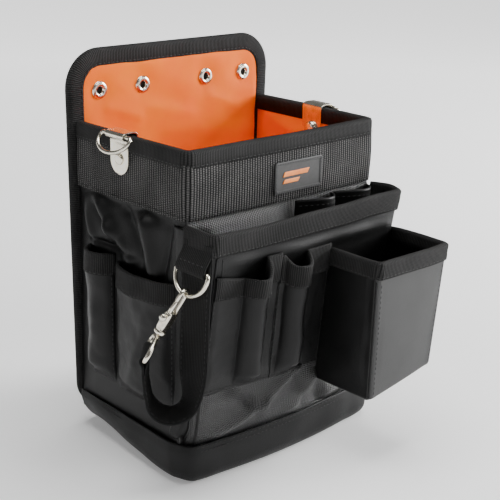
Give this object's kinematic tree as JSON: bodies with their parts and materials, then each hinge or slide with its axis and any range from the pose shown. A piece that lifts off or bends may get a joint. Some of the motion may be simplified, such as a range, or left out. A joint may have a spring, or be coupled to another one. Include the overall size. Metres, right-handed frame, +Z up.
{
  "type": "electrician tool pouch",
  "caption": "Open-topped electrician's belt pouch with bound rim, raised back panel, sewn tool pockets, ring hangers and a strap that closes on a bolt snap.",
  "frame": {"origin": "underside of the base, below the middle of the main compartment", "axes": "+X to the wearer's side seen on the right from the front, -Y towards the front pockets, +Z up"},
  "size_m": [0.2535, 0.2274, 0.3085],
  "materials": {
    "nickel": "bright nickel plate",
    "coated_fabric": "black PVC-coated polyester, dull",
    "satin_fabric": "black coated fabric, satin",
    "coarse_weave": "shiny coarse black weave",
    "ribbed_tape": "black ribbed webbing and binding",
    "orange_lining": "orange coated lining",
    "stiff_board": "black fabric-faced stiff board",
    "plain_patch": "moulded grey patch, blank"
  },
  "bodies": {
    "pouch": {"back_lining": "orange_lining", "back_board": "stiff_board", "back_binding": "ribbed_tape", "snap_stud_1": "nickel", "snap_stud_2": "nickel", "snap_stud_3": "nickel", "snap_stud_4": "nickel", "left_belt_strap_foot": "ribbed_tape", "right_belt_strap_foot": "ribbed_tape", "left_wall": "coated_fabric", "left_lining": "orange_lining", "right_wall": "coated_fabric", "right_lining": "orange_lining", "front_wall": "coated_fabric", "front_lining": "orange_lining", "rim_band": "ribbed_tape", "rim_binding": "ribbed_tape", "label_patch": "plain_patch", "pouch_front": "coarse_weave", "pouch_left_gusset": "coated_fabric", "pouch_right_gusset": "coated_fabric", "pouch_binding": "ribbed_tape", "tool_pocket_left": "coated_fabric", "tool_pocket_left_binding": "ribbed_tape", "tool_pocket_middle": "coated_fabric", "tool_pocket_middle_binding": "ribbed_tape", "narrow_side_pocket": "coated_fabric", "narrow_side_pocket_binding": "ribbed_tape", "wide_side_pocket": "coated_fabric", "wide_side_pocket_binding": "ribbed_tape", "right_side_pocket": "coated_fabric", "right_side_pocket_binding": "ribbed_tape", "box_pocket_front": "satin_fabric", "box_pocket_left_side": "coated_fabric", "box_pocket_right_side": "coated_fabric", "box_pocket_floor": "coated_fabric", "box_pocket_binding": "ribbed_tape", "inner_loop_left": "coated_fabric", "inner_loop_right": "coated_fabric", "base_board": "stiff_board", "base_boot": "coated_fabric", "left_hanger_plate": "nickel", "left_hanger_rivet": "nickel", "right_hanger_plate": "nickel", "right_hanger_rivet": "nickel", "hook_tab": "ribbed_tape"},
    "left_ring": {"left_d_ring": "nickel"},
    "right_ring": {"right_d_ring": "nickel"},
    "left_belt_strap": {"left_belt_strap_flap": "ribbed_tape", "snap_cap_1": "nickel", "snap_cap_2": "nickel"},
    "right_belt_strap": {"right_belt_strap_flap": "ribbed_tape", "snap_cap_3": "nickel", "snap_cap_4": "nickel"},
    "holder_loop": {"hook_d_ring": "nickel", "holder_strap": "ribbed_tape", "hook_eye": "nickel"},
    "bolt_snap": {"hook_body": "nickel"},
    "snap_bolt": {"hook_bolt": "nickel"}
  },
  "joints": [
    {"name": "left_ring_swing", "type": "hinge", "parent": "pouch", "child": "left_ring", "pos_m": [-0.102, 0.0105, 0.2546], "axis": [0, 1, 0], "range_deg": [-22, 150]},
    {"name": "right_ring_swing", "type": "hinge", "parent": "pouch", "child": "right_ring", "pos_m": [0.102, -0.001, 0.2546], "axis": [0, -1, 0], "range_deg": [-22, 150]},
    {"name": "left_belt_strap_open", "type": "hinge", "parent": "pouch", "child": "left_belt_strap", "pos_m": [-0.054, 0.0756, 0.206], "axis": [-1, 0, 0], "range_deg": [0, 110]},
    {"name": "right_belt_strap_open", "type": "hinge", "parent": "pouch", "child": "right_belt_strap", "pos_m": [0.054, 0.0756, 0.206], "axis": [-1, 0, 0], "range_deg": [0, 110]},
    {"name": "holder_loop_swing", "type": "hinge", "parent": "pouch", "child": "holder_loop", "pos_m": [-0.1039, -0.078, 0.175], "axis": [0, 1, 0], "range_deg": [0, 60]},
    {"name": "bolt_snap_swivel", "type": "hinge", "parent": "holder_loop", "child": "bolt_snap", "pos_m": [-0.10931, -0.075, 0.15761], "axis": [-0.3642, 0.3462, -0.8646], "range_deg": [-15, 10]},
    {"name": "snap_bolt_slide", "type": "slide", "parent": "bolt_snap", "child": "snap_bolt", "axis": [-0.3642, 0.3462, -0.8646], "range_m": [0, 0.007], "stiffness_N_per_m": 300, "springref_m": -0.004}
  ]
}
